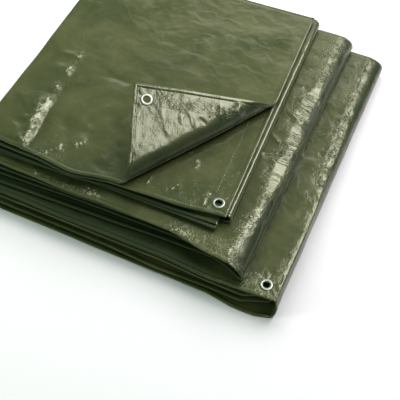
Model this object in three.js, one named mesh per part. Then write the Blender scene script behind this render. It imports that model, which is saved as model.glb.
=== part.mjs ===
// Folded tarp: one hemmed sheet folded in half, then back and forth into a packet, with a corner turned back.
// Units are millimetres and +Z is up. While it is built, x = 0, y = 0 is the packet's near right corner on the
// ground, the packet lies towards -X and +Y, and the group then sets the origin under the middle of the packet.
import * as THREE from 'three';

// The cloth, its hem and its eyelets
const clothThickness = 1.6;
const hemWidth = 44;
const pieceGap = 0.3;
const eyeletRadius = 11;
const eyeletBore = 6;
const barrelWall = 0.9;
const flangeThickness = 0.9;
const rimRound = 0.4;

// The packet
const leftEnd = -600;
const backEdge = 598;
const originX = -300.8;
const originY = 299;
const topLevel = 94;

// Heights of the two layers of each pass, bottom to top, with how far back its doubled edge lies
const passes = [
  { name: 'ground', low: clothThickness / 2, high: 12, back: backEdge },
  { name: 'eyelet', low: 25, high: 38, back: backEdge - 3 },
  { name: 'roundLow', low: 43.5, high: 50, back: backEdge + 3 },
  { name: 'roundHigh', low: 62, high: 70, back: backEdge - 2 },
  { name: 'tuckLow', low: 74, high: 77.5, back: backEdge - 5 },
  { name: 'tuckHigh', low: 81, high: 84.5, back: backEdge + 2 },
  { name: 'top', low: 90, high: topLevel, back: backEdge - 1 },
];

// Folds between the passes, turn by turn. tip is where the outer layer reaches, inset is how far inside it the
// inner layer turns, lean moves both for each mm back, reach is the length of the round below and above the
// tip, rise is the height of the tip as a share of the fold's height, and square is the round's exponent. The
// inner layer's round is shorter by innerShare.
const innerShare = 0.6;
const folds = [
  { side: 1, tip: 2.2, inset: 13, lean: 0.002, reachLow: 9, reachHigh: 9, rise: 0.5, square: 2.6 },
  { side: -1, tip: -605, inset: 8, lean: 0, reachLow: 12, reachHigh: 12, rise: 0.5, square: 2 },
  { side: 1, tip: -64, inset: 12, lean: 0.002, reachLow: 10, reachHigh: 30, rise: 0.14, square: 2 },
  { side: -1, tip: -601, inset: 5, lean: 0, reachLow: 8, reachHigh: 8, rise: 0.5, square: 2 },
  { side: 1, tip: -114, inset: 18, lean: -0.036, reachLow: 6, reachHigh: 6, rise: 0.5, square: 2 },
  { side: -1, tip: -598, inset: 5, lean: 0, reachLow: 7, reachHigh: 7, rise: 0.5, square: 2 },
];

// Front edge of each layer, as y at these distances along x, with the stations rounded off by edgeRounding
const edgeRounding = 0.6;
const edgeStations = [-600, -480, -400, -325, -210, -120, -60, -20, 3];
const frontEdges = [
  { layer: 'ground low', y: [12, 8, 6, 3, 0.5, -2, -11, -10, -1] },
  { layer: 'ground high', y: [16, 13, 11, 9, 1, 2, -2, -2, -2] },
  { layer: 'eyelet low', y: [20, 18, 16, 14, 12, 6, 2, 2, 2] },
  { layer: 'eyelet high', y: [22, 18, 14, 13, 11, 4, 5, 7, 8] },
  { layer: 'roundLow low', y: [34, 35, 36, 37, 41, 41, 18, 18, 18] },
  { layer: 'roundLow high', y: [46, 48, 50, 50, 50, 46, 30, 30, 30] },
  { layer: 'roundHigh low', y: [52, 50, 49, 50, 51, 44, 30, 30, 30] },
  { layer: 'roundHigh high', y: [57, 52, 47, 48, 45, 29, 20, 20, 20] },
  { layer: 'tuckLow low', y: [90, 90, 90, 92, 94, 96, 98, 98, 98] },
  { layer: 'tuckLow high', y: [72, 71, 74, 76, 75, 73, 73, 73, 73] },
  { layer: 'tuckHigh low', y: [76, 72, 70, 79, 79, 82, 82, 82, 82] },
  { layer: 'tuckHigh high', y: [90, 92, 93, 95, 98, 101, 101, 101, 101] },
  { layer: 'top low', y: [80, 75, 67, 80, 85, 95, 97, 97, 97] },
  { layer: 'top high', y: [88, 80, 70, 82, 84, 87, 87, 87, 87] },
];

// Lumps that run through all layers: height on the top layer, length along x and y over one radian, and start
const lumps = [
  { height: 1.5, alongX: 71, alongY: 190, start: 0 },
  { height: 1.1, alongX: 118, alongY: -83, start: 1.3 },
];

// The free short ends: the ground pass starts at one and the top pass ends at the other
const freeEnds = {
  ground: { low: leftEnd, high: leftEnd + 3, lean: 0 },
  top: { low: -120, high: -119, lean: -0.047 },
};

// The corner of the top layer is turned back from this line on: bent close at first, then in a looser bow
const turnFrom = new THREE.Vector2(-317, 83);
const turnTo = new THREE.Vector2(-139, 361.8);
const turnBends = [
  { radius: 9, angle: THREE.MathUtils.degToRad(105), steps: 6 },
  { radius: 28, angle: THREE.MathUtils.degToRad(51.3), steps: 3 },
];

// Where the three eyelets sit: pass, layer, and the centre's distance in from the right end and from the front
const eyelets = [
  { name: 'bottom', pass: 1, layer: 'high', fromEnd: 19, fromFront: 24, patchWidth: 37 },
  { name: 'middle', pass: 6, layer: 'low', fromEnd: 21.5, fromFront: 24, patchWidth: hemWidth },
  { name: 'corner', pass: 6, layer: 'high', fromEnd: 29, fromFront: 24, patchWidth: hemWidth },
];

// Steps of the sheet's grid, which is closer towards the right end of a pass
const passSteps = 9;
const passCrowding = 1.35;
const foldSteps = 8;
const backSteps = 5;
const depthSteps = 5;
const nearCut = 0.4;

// Steps round an eyelet, and the rings of its patch as shares of the way from the hole to the square's edge
const roundSteps = 24;
const patchRings = [0, 0.3, 1];

const clothColor = 0x5b6040;
const patchColor = 0x555a3a;
const metalColor = 0xd8dccb;

// Value at x of a row of the front edges, rounded off between its stations
function throughStations(values, x) {
  const last = edgeStations.length - 1;
  if (x <= edgeStations[0]) return values[0];
  if (x >= edgeStations[last]) return values[last];
  const right = edgeStations.findIndex((station) => station > x);
  const left = right - 1;
  const t = (x - edgeStations[left]) / (edgeStations[right] - edgeStations[left]);
  const share = THREE.MathUtils.lerp(t, THREE.MathUtils.smoothstep(t, 0, 1), edgeRounding);
  return THREE.MathUtils.lerp(values[left], values[right], share);
}

// Lifts a point by the lumps, which grow with height, so that the layers keep their distances
function withLumps(point) {
  const share = (point.z - clothThickness / 2) / topLevel;
  lumps.forEach(({ height, alongX, alongY, start }) => {
    point.z += share * height * Math.sin(point.x / alongX + point.y / alongY + start);
  });
  return point;
}

const topPass = passes.length - 1;
const frontOf = (pass, layer, x) => throughStations(frontEdges[2 * pass + (layer === 'high' ? 1 : 0)].y, x);

const superCos = (angle, exponent) => Math.pow(Math.abs(Math.cos(angle)), 2 / exponent);
const superSin = (angle, exponent) => Math.sign(angle) * Math.pow(Math.abs(Math.sin(angle)), 2 / exponent);

// The doubled sheet's two plies, a and b, change places at each fold: the one that turns outermost there runs
// from the low layer of one pass to the high layer of the next
const isOuter = (ply, fold) => (ply === 'a') === (folds[fold].side === 1);
const layerOf = (ply, pass) => ((ply === 'a') === (pass % 2 === 0) ? 'low' : 'high');

// Where a layer's straight run ends on one side of its pass, at a given y
function runEnd(ply, pass, side, y) {
  const layer = layerOf(ply, pass);
  if (pass === 0 && side === -1) return freeEnds.ground[layer];
  if (pass === topPass && side === 1) return freeEnds.top[layer] + freeEnds.top.lean * y;
  const index = side === (pass % 2 === 0 ? 1 : -1) ? pass : pass - 1;
  const fold = folds[index];
  const scale = isOuter(ply, index) ? 1 : innerShare;
  const reach = index === pass ? fold.reachLow : fold.reachHigh;
  return foldTip(ply, index, y) - fold.side * reach * scale;
}

function foldTip(ply, index, y) {
  const fold = folds[index];
  const inset = isOuter(ply, index) ? 0 : fold.inset;
  return fold.tip + fold.lean * y - fold.side * inset;
}

// Share of a pass's run for each grid step, closer together towards its right end
function runShare(step, pass) {
  const share = step / passSteps;
  const fromLeft = pass % 2 === 0 ? share : 1 - share;
  const eased = 1 - Math.pow(1 - fromLeft, passCrowding);
  return pass % 2 === 0 ? eased : 1 - eased;
}

// The sections of the strip, in order: a run for each pass and a turn for each fold. In a pass with an eyelet
// the section next to the right end keeps the width of the eyelet's patch from it.
function stripSections() {
  const sections = [];
  passes.forEach((pass, index) => {
    const patchWidth = eyelets.find((eyelet) => eyelet.pass === index)?.patchWidth;
    for (let step = 0; step <= passSteps; step += 1) {
      const stepsFromRight = index % 2 === 0 ? passSteps - step : step;
      const fromRight = stepsFromRight === 1 ? patchWidth : undefined;
      sections.push({ kind: 'run', pass: index, share: runShare(step, index), stepsFromRight, fromRight });
    }
    if (index === folds.length) return;
    for (let step = 1; step < foldSteps; step += 1) {
      sections.push({ kind: 'fold', pass: index, angle: Math.PI * (step / foldSteps - 0.5) });
    }
  });
  return sections;
}

// A point of one layer, for a section of the strip and a y
function layerPoint(ply, section, y) {
  const { pass } = section;
  const layer = layerOf(ply, pass);
  if (section.kind === 'run') {
    const forward = pass % 2 === 0;
    const start = runEnd(ply, pass, forward ? -1 : 1, y);
    const end = runEnd(ply, pass, forward ? 1 : -1, y);
    const x = section.fromRight === undefined
      ? THREE.MathUtils.lerp(start, end, section.share)
      : runEnd(ply, pass, 1, y) - section.fromRight;
    return new THREE.Vector3(x, y, passes[pass][layer]);
  }
  const fold = folds[pass];
  const outer = isOuter(ply, pass);
  const low = passes[pass][layer];
  const high = passes[pass + 1][layerOf(ply, pass + 1)];
  const scale = outer ? 1 : innerShare;
  const tipLevel = low + (high - low) * fold.rise;
  const rising = section.angle > 0;
  const reach = (rising ? fold.reachHigh : fold.reachLow) * scale;
  const height = rising ? high - tipLevel : tipLevel - low;
  const x = foldTip(ply, pass, y) - fold.side * reach * (1 - superCos(section.angle, fold.square));
  return new THREE.Vector3(x, y, tipLevel + height * superSin(section.angle, fold.square));
}

// Front edge of a layer at a place along the strip, blended from one layer to the next round a fold
function frontAt(ply, section) {
  const { pass } = section;
  const { x } = layerPoint(ply, section, hemWidth);
  const here = frontOf(pass, layerOf(ply, pass), x);
  if (section.kind === 'run') return here;
  const next = frontOf(pass + 1, layerOf(ply, pass + 1), x);
  const blend = THREE.MathUtils.smoothstep(section.angle / Math.PI, -0.5, 0.5);
  return THREE.MathUtils.lerp(here, next, blend);
}

function backAt(section) {
  const here = passes[section.pass].back;
  if (section.kind === 'run') return here;
  return THREE.MathUtils.lerp(here, passes[section.pass + 1].back, section.angle / Math.PI + 0.5);
}

// A point of the sheet, for a section of the strip and a step across it
function sheetPoint(section, step) {
  const back = backAt(section);
  if (step.ply) {
    const front = frontAt(step.ply, section);
    const y = step.inset === undefined
      ? THREE.MathUtils.lerp(front + hemWidth, back, step.share)
      : front + step.inset;
    return withLumps(layerPoint(step.ply, section, y));
  }
  const first = withLumps(layerPoint('a', section, back));
  const last = withLumps(layerPoint('b', section, back));
  const middle = first.clone().add(last).multiplyScalar(0.5);
  const half = first.clone().sub(last).multiplyScalar(0.5);
  const bulge = half.length() * Math.sin(step.angle);
  return middle.addScaledVector(half, Math.cos(step.angle)).add(new THREE.Vector3(0, bulge, 0));
}

// Steps across the strip: in from the front edge of ply a, round the doubled back edge, out to that of ply b
function crossSteps() {
  const layer = (ply) => {
    const steps = [{ ply, inset: 0 }];
    for (let step = 0; step <= depthSteps; step += 1) steps.push({ ply, share: step / depthSteps });
    return steps;
  };
  const turns = [];
  for (let step = 1; step < backSteps; step += 1) turns.push({ angle: (Math.PI * step) / backSteps });
  return [...layer('a'), ...turns, ...layer('b').reverse()];
}

// Turns a point of the flat top layer back over the bends, keeping its height above its layer's own level
const turnAlong = turnTo.clone().sub(turnFrom).normalize();
const turnAcross = new THREE.Vector3(turnAlong.y, -turnAlong.x, 0);
const pastTurn = (point) => (point.x - turnFrom.x) * turnAcross.x + (point.y - turnFrom.y) * turnAcross.y;

function turnedBack(point) {
  const past = pastTurn(point);
  if (past <= 0) return point;
  let left = past;
  let heading = 0;
  let side = 0;
  let rise = 0;
  turnBends.forEach(({ radius, angle }) => {
    const next = heading + Math.min(left / radius, angle);
    side += radius * (Math.sin(next) - Math.sin(heading));
    rise += radius * (Math.cos(heading) - Math.cos(next));
    left = Math.max(left - radius * angle, 0);
    heading = next;
  });
  const above = point.z - topLevel;
  side += left * Math.cos(heading) - above * Math.sin(heading);
  rise += left * Math.sin(heading) + above * Math.cos(heading);
  const foot = point.clone().addScaledVector(turnAcross, side - past);
  foot.z = topLevel + rise;
  return foot;
}

// Distances past the turn line at which the sheet is cut, so that it can bend there
function turnCuts() {
  const cuts = [0];
  turnBends.forEach(({ radius, angle, steps }) => {
    const start = cuts[cuts.length - 1];
    for (let step = 1; step <= steps; step += 1) cuts.push(start + (radius * angle * step) / steps);
  });
  return cuts;
}

// A middle surface is a list of points and of triangles. It is cut along lines where it has to bend.
function cutAlong(surface, distance) {
  const { points, triangles } = surface;
  const known = new Map();
  const gaps = points.map(distance);
  const cutEdge = (i, j) => {
    const key = i < j ? `${i},${j}` : `${j},${i}`;
    if (!known.has(key)) {
      const share = gaps[i] / (gaps[i] - gaps[j]);
      points.push(points[i].clone().lerp(points[j], share));
      gaps.push(0);
      known.set(key, points.length - 1);
    }
    return known.get(key);
  };
  const side = (i) => (Math.abs(gaps[i]) < nearCut ? 0 : Math.sign(gaps[i]));
  const result = [];
  triangles.forEach((triangle) => {
    const sides = triangle.map(side);
    if (!(sides.includes(1) && sides.includes(-1))) {
      result.push(triangle);
      return;
    }
    const onLine = sides.indexOf(0);
    if (onLine >= 0) {
      const [p, q, r] = [0, 1, 2].map((step) => triangle[(onLine + step) % 3]);
      const cut = cutEdge(q, r);
      result.push([p, q, cut], [p, cut, r]);
      return;
    }
    const lone = sides.findIndex((value) => sides.filter((other) => other === value).length === 1);
    const [p, q, r] = [0, 1, 2].map((step) => triangle[(lone + step) % 3]);
    const first = cutEdge(p, q);
    const second = cutEdge(p, r);
    result.push([p, first, second], [first, q, r], [first, r, second]);
  });
  return { points, triangles: result };
}

// Gives a middle surface its thickness: two offset skins joined along every free edge
function thicken(surface) {
  const used = new Map();
  const points = [];
  const triangles = surface.triangles.map((triangle) => triangle.map((index) => {
    if (!used.has(index)) {
      used.set(index, points.length);
      points.push(surface.points[index]);
    }
    return used.get(index);
  }));
  const normals = points.map(() => new THREE.Vector3());
  triangles.forEach((triangle) => {
    const [a, b, c] = triangle.map((index) => points[index]);
    const normal = b.clone().sub(a).cross(c.clone().sub(a)).normalize();
    triangle.forEach((index, corner) => {
      const before = points[triangle[(corner + 2) % 3]].clone().sub(points[index]);
      const after = points[triangle[(corner + 1) % 3]].clone().sub(points[index]);
      normals[index].addScaledVector(normal, after.angleTo(before));
    });
  });
  const position = [];
  const half = clothThickness / 2;
  points.forEach((point, index) => {
    const normal = normals[index].normalize();
    position.push(...point.clone().addScaledVector(normal, half).toArray());
    position.push(...point.clone().addScaledVector(normal, -half).toArray());
  });
  const faces = [];
  const edges = new Map();
  triangles.forEach(([a, b, c]) => {
    faces.push(2 * a, 2 * b, 2 * c, 2 * a + 1, 2 * c + 1, 2 * b + 1);
    [[a, b], [b, c], [c, a]].forEach(([from, to]) => edges.set(`${from},${to}`, [from, to]));
  });
  edges.forEach(([from, to]) => {
    if (edges.has(`${to},${from}`)) return;
    faces.push(2 * from, 2 * from + 1, 2 * to + 1, 2 * from, 2 * to + 1, 2 * to);
  });
  const geometry = new THREE.BufferGeometry();
  geometry.setAttribute('position', new THREE.Float32BufferAttribute(position, 3));
  geometry.setIndex(faces);
  geometry.computeVertexNormals();
  return geometry;
}

function clothMesh(name, surface, color) {
  const material = new THREE.MeshStandardMaterial({ color, roughness: 0.42, metalness: 0 });
  const mesh = new THREE.Mesh(thicken(surface), material);
  mesh.name = name;
  return mesh;
}

const sections = stripSections();
const across = crossSteps();

// The grid cell at the right end and front edge of a layer with an eyelet is left to the eyelet's patch
function isPatchCell(row, column) {
  const [here, next] = [sections[row], sections[row + 1]];
  const atFront = column === 0 || column === across.length - 2;
  const inRun = here.kind === 'run' && next.kind === 'run';
  const atEnd = inRun && Math.min(here.stepsFromRight, next.stepsFromRight) === 0;
  if (!atFront || !atEnd) return false;
  const layer = layerOf(across[column].ply, here.pass);
  return eyelets.some((eyelet) => eyelet.pass === here.pass && eyelet.layer === layer);
}

function sheetSurface() {
  const points = [];
  const triangles = [];
  const topTriangles = [];
  sections.forEach((section) => across.forEach((step) => points.push(sheetPoint(section, step))));
  const columns = across.length;
  for (let row = 0; row < sections.length - 1; row += 1) {
    for (let column = 0; column < columns - 1; column += 1) {
      if (isPatchCell(row, column)) continue;
      const corner = row * columns + column;
      const [a, b, c, d] = [corner, corner + columns, corner + columns + 1, corner + 1];
      const { kind, pass } = sections[row];
      const isTop = kind === 'run' && pass === topPass && across[column].ply === 'b';
      (isTop ? topTriangles : triangles).push([a, b, c], [a, c, d]);
    }
  }
  let top = { points, triangles: topTriangles };
  turnCuts().forEach((cut) => {
    top = cutAlong(top, (point) => pastTurn(point) - cut);
  });
  const inTop = new Set(top.triangles.flat());
  const moved = points.map((point, index) => (inTop.has(index) ? turnedBack(point) : point));
  return { points: moved, triangles: [...triangles, ...top.triangles] };
}

// A place in the square of hem at a layer's right end and front edge. The square is flat between its four
// corners, as the sheet round it is, and is turned back where its layer is.
function placeOnHem({ pass, layer, patchWidth }, fromEnd, fromFront) {
  const ply = layerOf('a', pass) === layer ? 'a' : 'b';
  const corner = (end, front) => sheetPoint({ kind: 'run', pass, fromRight: end }, { ply, inset: front });
  const front = corner(0, 0).lerp(corner(patchWidth, 0), fromEnd / patchWidth);
  const behind = corner(0, hemWidth).lerp(corner(patchWidth, hemWidth), fromEnd / patchWidth);
  const point = front.lerp(behind, fromFront / hemWidth);
  return pass === topPass && layer === 'high' ? turnedBack(point) : point;
}

function normalOnHem(eyelet, fromEnd, fromFront) {
  const point = placeOnHem(eyelet, fromEnd, fromFront);
  const rightwards = placeOnHem(eyelet, fromEnd - 1, fromFront).sub(point);
  return rightwards.cross(placeOnHem(eyelet, fromEnd, fromFront + 1).sub(point)).normalize();
}

// The square of hem that holds an eyelet: rings of points from the hole out to the square
function patchSurface(eyelet) {
  const hole = eyeletBore + barrelWall + pieceGap;
  const toEnd = eyelet.fromEnd - (eyelet.pass === topPass ? 0 : pieceGap);
  const awayFromEnd = eyelet.patchWidth - pieceGap - eyelet.fromEnd;
  const awayFromFront = hemWidth - pieceGap - eyelet.fromFront;
  const points = [];
  const triangles = [];
  patchRings.forEach((ring) => {
    for (let step = 0; step < roundSteps; step += 1) {
      const angle = (2 * Math.PI * step) / roundSteps;
      const [cos, sin] = [Math.cos(angle), Math.sin(angle)];
      const reach = Math.max(Math.abs(cos), Math.abs(sin));
      const edgeX = (cos / reach) * (cos > 0 ? awayFromEnd : toEnd);
      const edgeY = (sin / reach) * (sin > 0 ? awayFromFront : eyelet.fromFront);
      const x = THREE.MathUtils.lerp(cos * hole, edgeX, ring);
      const y = THREE.MathUtils.lerp(sin * hole, edgeY, ring);
      points.push(placeOnHem(eyelet, eyelet.fromEnd + x, eyelet.fromFront + y));
    }
  });
  for (let ring = 0; ring < patchRings.length - 1; ring += 1) {
    for (let step = 0; step < roundSteps; step += 1) {
      const next = (step + 1) % roundSteps;
      const [a, b] = [ring * roundSteps + step, ring * roundSteps + next];
      const [c, d] = [b + roundSteps, a + roundSteps];
      triangles.push([a, b, c], [a, c, d]);
    }
  }
  return { points, triangles };
}

// A two-flanged eyelet round its barrel, turned about Z
function eyeletMesh(eyelet) {
  const seat = clothThickness / 2 + pieceGap;
  const outer = seat + flangeThickness;
  const barrel = eyeletBore + barrelWall;
  const half = [
    [barrel, seat],
    [eyeletRadius - rimRound, seat],
    [eyeletRadius, seat + rimRound],
    [eyeletRadius - 2 * rimRound, outer - rimRound / 4],
    [(barrel + eyeletRadius) / 2, outer],
    [eyeletBore + 1.5 * rimRound, outer - rimRound / 3],
    [eyeletBore, seat + rimRound / 2],
  ];
  const mirrored = half.map(([radius, height]) => [radius, -height]).reverse();
  const outline = [...mirrored, ...half, mirrored[0]];
  const profile = outline.map(([radius, height]) => new THREE.Vector2(radius, height));
  const geometry = new THREE.LatheGeometry(profile, roundSteps);
  geometry.rotateX(Math.PI / 2);
  const material = new THREE.MeshStandardMaterial({ color: metalColor, roughness: 0.3, metalness: 1 });
  const mesh = new THREE.Mesh(geometry, material);
  mesh.position.copy(placeOnHem(eyelet, eyelet.fromEnd, eyelet.fromFront));
  const normal = normalOnHem(eyelet, eyelet.fromEnd, eyelet.fromFront);
  mesh.quaternion.setFromUnitVectors(new THREE.Vector3(0, 0, 1), normal);
  mesh.name = `eyelet_${eyelet.name}`;
  return mesh;
}

const tarp = new THREE.Group();
tarp.add(clothMesh('tarp_sheet', sheetSurface(), clothColor));
eyelets.forEach((eyelet) => {
  tarp.add(clothMesh(`hem_patch_${eyelet.name}`, patchSurface(eyelet), patchColor));
  tarp.add(eyeletMesh(eyelet));
});
tarp.position.set(-originX, -originY, 0);

export default tarp;
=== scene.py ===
import bisect
import math

import bpy
import numpy as np
from mathutils import Matrix, Vector


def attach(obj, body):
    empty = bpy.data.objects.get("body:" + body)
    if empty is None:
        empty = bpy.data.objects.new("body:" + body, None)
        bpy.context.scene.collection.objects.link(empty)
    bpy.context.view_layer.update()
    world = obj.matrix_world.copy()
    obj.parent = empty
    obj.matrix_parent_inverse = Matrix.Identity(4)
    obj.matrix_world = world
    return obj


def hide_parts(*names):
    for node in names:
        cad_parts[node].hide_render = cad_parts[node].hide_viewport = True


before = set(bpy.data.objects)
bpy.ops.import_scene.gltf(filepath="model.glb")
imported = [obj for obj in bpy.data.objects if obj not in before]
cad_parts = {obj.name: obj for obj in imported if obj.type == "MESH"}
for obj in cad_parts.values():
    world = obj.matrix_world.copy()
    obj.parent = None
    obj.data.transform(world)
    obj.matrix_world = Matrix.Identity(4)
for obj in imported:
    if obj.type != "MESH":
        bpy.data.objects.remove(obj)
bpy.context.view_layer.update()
print("frame loaded:", len(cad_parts), "nodes")


# The packet's folds, in metres. Everything is placed from the near right corner on the ground, with the
# packet towards -x and +y, and moved onto the frame's origin at the end, as the solids are.
packet = {
    "corner": (0.3008, -0.299),
    "solidLow": 0.0008,      # height of the lowest layer's middle
    "top": 0.094,            # height of the top layer's middle
    "hem": 0.044,            # width of the fine strip along the front edges
    "innerShare": 0.6,       # how much shorter the inner layer turns in a fold
    "edgeRounding": 0.6,     # how rounded the front edges run between their stations, from 0 to 1
    "wallTurn": 1.1,         # how far the wall under a worn ridge turns, in radians
}

far = 9.0                    # stands for no end or path near, in metres

passes = [                   # one back and forth run each, bottom to top
    {"low": 0.0008, "high": 0.012, "back": 0.598},
    {"low": 0.025, "high": 0.038, "back": 0.595},
    {"low": 0.0435, "high": 0.050, "back": 0.601},
    {"low": 0.062, "high": 0.070, "back": 0.596},
    {"low": 0.074, "high": 0.0775, "back": 0.593},
    {"low": 0.081, "high": 0.0845, "back": 0.600},
    {"low": 0.090, "high": 0.094, "back": 0.597},
]

plainFold = {"lean": 0, "rise": 0.5, "square": 2, "rows": 8}
folds = [                    # the turn after each pass
    {**plainFold, "side": 1, "tip": 0.0022, "inset": 0.013, "lean": 0.002, "reach": 0.009, "square": 2.6,
     "rows": 16},
    {**plainFold, "side": -1, "tip": -0.605, "inset": 0.008, "reach": 0.012},
    {**plainFold, "side": 1, "tip": -0.064, "inset": 0.012, "lean": 0.002, "reach": 0.010, "rise": 0.14,
     "rows": 20},
    {**plainFold, "side": -1, "tip": -0.601, "inset": 0.005, "reach": 0.008},
    {**plainFold, "side": 1, "tip": -0.114, "inset": 0.018, "lean": -0.036, "reach": 0.006},
    {**plainFold, "side": -1, "tip": -0.598, "inset": 0.005, "reach": 0.007},
]

# The worn face along each ridge: its slope, the share of the fold's upper rows in the wall below it, and
# along y how far in from the fold's tip the face ends and starts
ridges = {
    0: {"slope": 0.27, "cut": 0.5, "edges": [
        (0.000, 0.0065, 0.0035), (0.150, 0.0065, 0.0030), (0.200, 0.0070, 0.0040), (0.230, 0.0085, 0.0055),
        (0.244, 0.0130, 0.0062), (0.258, 0.0100, 0.0075), (0.274, 0.0150, 0.0086), (0.288, 0.0130, 0.0105),
        (0.300, 0.0180, 0.0096), (0.316, 0.0150, 0.0075), (0.330, 0.0185, 0.0094), (0.346, 0.0140, 0.0085),
        (0.362, 0.0185, 0.0088), (0.378, 0.0165, 0.0118), (0.390, 0.0200, 0.0100), (0.405, 0.0185, 0.0115),
        (0.420, 0.0195, 0.0150), (0.436, 0.0235, 0.0140), (0.452, 0.0215, 0.0165), (0.470, 0.0260, 0.0170),
        (0.485, 0.0250, 0.0200), (0.507, 0.0280, 0.0200), (0.600, 0.0290, 0.0210)]},
    2: {"slope": 0.255, "cut": 0.4, "edges": [
        (0.030, 0.0345, 0.0300), (0.060, 0.0320, 0.0275), (0.082, 0.0320, 0.0262), (0.096, 0.0272, 0.0225),
        (0.111, 0.0295, 0.0207), (0.124, 0.0240, 0.0190), (0.140, 0.0260, 0.0160), (0.154, 0.0225, 0.0168),
        (0.170, 0.0248, 0.0150), (0.182, 0.0212, 0.0130), (0.199, 0.0255, 0.0115), (0.213, 0.0310, 0.0090),
        (0.226, 0.0280, 0.0105), (0.240, 0.0300, 0.0098), (0.255, 0.0340, 0.0085), (0.268, 0.0250, 0.0120),
        (0.280, 0.0210, 0.0100), (0.291, 0.0240, 0.0105), (0.302, 0.0315, 0.0056), (0.314, 0.0300, 0.0080),
        (0.328, 0.0345, 0.0120), (0.341, 0.0345, 0.0160), (0.350, 0.0290, 0.0228), (0.360, 0.0360, 0.0180),
        (0.374, 0.0390, 0.0125), (0.388, 0.0375, 0.0150), (0.399, 0.0390, 0.0158), (0.414, 0.0350, 0.0135),
        (0.430, 0.0365, 0.0150), (0.444, 0.0260, 0.0160), (0.458, 0.0255, 0.0182), (0.480, 0.0265, 0.0190),
        (0.520, 0.0280, 0.0200), (0.600, 0.0280, 0.0200)]},
}

edgeStations = [-0.600, -0.480, -0.400, -0.325, -0.210, -0.120, -0.060, -0.020, 0.003]
frontEdges = {               # how far back each layer's front edge lies at those stations
    (0, "low"): [0.012, 0.008, 0.006, 0.003, 0.0005, -0.002, -0.011, -0.010, -0.001],
    (0, "high"): [0.016, 0.013, 0.011, 0.009, 0.001, 0.002, 0.000, 0.014, 0.026],
    (1, "low"): [0.020, 0.018, 0.016, 0.014, 0.012, 0.006, 0.004, 0.018, 0.030],
    (1, "high"): [0.022, 0.018, 0.014, 0.013, 0.011, 0.004, 0.005, 0.007, 0.008],
    (2, "low"): [0.034, 0.035, 0.036, 0.037, 0.041, 0.041, 0.018, 0.018, 0.018],
    (2, "high"): [0.046, 0.048, 0.050, 0.050, 0.050, 0.046, 0.030, 0.030, 0.030],
    (3, "low"): [0.052, 0.050, 0.049, 0.050, 0.051, 0.044, 0.030, 0.030, 0.030],
    (3, "high"): [0.057, 0.052, 0.047, 0.048, 0.045, 0.029, 0.020, 0.020, 0.020],
    (4, "low"): [0.090, 0.090, 0.090, 0.092, 0.094, 0.096, 0.098, 0.098, 0.098],
    (4, "high"): [0.072, 0.071, 0.074, 0.076, 0.075, 0.073, 0.073, 0.073, 0.073],
    (5, "low"): [0.076, 0.072, 0.070, 0.079, 0.079, 0.082, 0.082, 0.082, 0.082],
    (5, "high"): [0.090, 0.092, 0.093, 0.095, 0.098, 0.101, 0.101, 0.101, 0.101],
    (6, "low"): [0.080, 0.075, 0.067, 0.080, 0.085, 0.095, 0.097, 0.097, 0.097],
    (6, "high"): [0.088, 0.080, 0.070, 0.082, 0.084, 0.087, 0.087, 0.087, 0.087],
}

lumps = [                    # run through all layers: height on the top, length of one radian along x and y
    {"height": 0.0015, "alongX": 0.071, "alongY": 0.190, "start": 0},
    {"height": 0.0011, "alongX": 0.118, "alongY": -0.083, "start": 1.3},
]

groundEnd = {"low": -0.600, "high": -0.597}
topEnd = {"low": -0.120, "high": -0.119, "lean": -0.047}

turnBack = {                 # the line that the corner turns back from, and its bends
    "from": (-0.317, 0.083),
    "to": (-0.139, 0.3618),
    "bends": [(0.009, math.radians(105)), (0.028, math.radians(51.3))],
}

cloth = {
    "thickness": 0.0009,
    "bead": 0.0072,          # width and height of the bead in the hem's edge
    "beadHeight": 0.0011,
    "beadSteps": [0, 0.0005, 0.0014, 0.0026, 0.0038, 0.0050, 0.0060, 0.0068, 0.0076, 0.0090, 0.0105],
    "hemSteps": [0.0140, 0.0190, 0.0240, 0.0290, 0.0340, 0.0390],
    "groove": 0.0011,        # width and depth of the groove beside it, and how far from it
    "grooveDepth": 0.00016,
    "grooveAt": 0.0016,
    "rimGap": 0.003,         # from the close rows along a short end to the next row, as a share of the run
    "backRows": 8,
}

# How closely each stretch of a pass is meshed, from the left: rows along it, and across each ply the fine
# steps, how far in they reach, and how many coarse ones follow
coarse = (0, 0, 9)
stretches = [
    {"pass": 0, "until": 0.05, "row": 0.022, "a": coarse, "b": coarse},
    {"pass": 1, "until": -0.085, "row": 0.016, "a": (0.008, 0.1, 9), "b": coarse},
    {"pass": 1, "until": 0.05, "row": 0.0036, "a": (0.0042, 0.50, 12), "b": coarse},
    {"pass": 2, "until": 0.05, "row": 0.026, "a": coarse, "b": coarse},
    {"pass": 3, "until": -0.150, "row": 0.014, "a": (0.008, 0.1, 9), "b": coarse},
    {"pass": 3, "until": 0.05, "row": 0.0036, "a": (0.0040, 0.50, 12), "b": coarse},
    {"pass": 4, "until": 0.05, "row": 0.026, "a": coarse, "b": coarse},
    {"pass": 5, "until": 0.05, "row": 0.026, "a": coarse, "b": coarse},
    {"pass": 6, "until": -0.528, "row": 0.0065, "a": coarse, "b": (0.0044, 0.34, 22)},
    {"pass": 6, "until": -0.490, "row": 0.0024, "a": coarse, "b": (0.0044, 0.34, 22)},
    {"pass": 6, "until": -0.322, "row": 0.0053, "a": coarse, "b": (0.0044, 0.34, 22)},
    {"pass": 6, "until": 0.05, "row": 0.0029, "a": (0.0040, 0.25, 16), "b": (0.0029, 0.30, 22)},
]


def between(low, high, share):
    return low + (high - low) * share


def smooth(share):
    share = np.clip(share, 0, 1)
    return share * share * (3 - 2 * share)


def isOuter(ply, fold):      # the ply that turns outermost changes from side to side
    return (ply == "a") == (folds[fold]["side"] == 1)


def layerOf(ply, number):
    return "low" if (ply == "a") == (number % 2 == 0) else "high"


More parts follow.
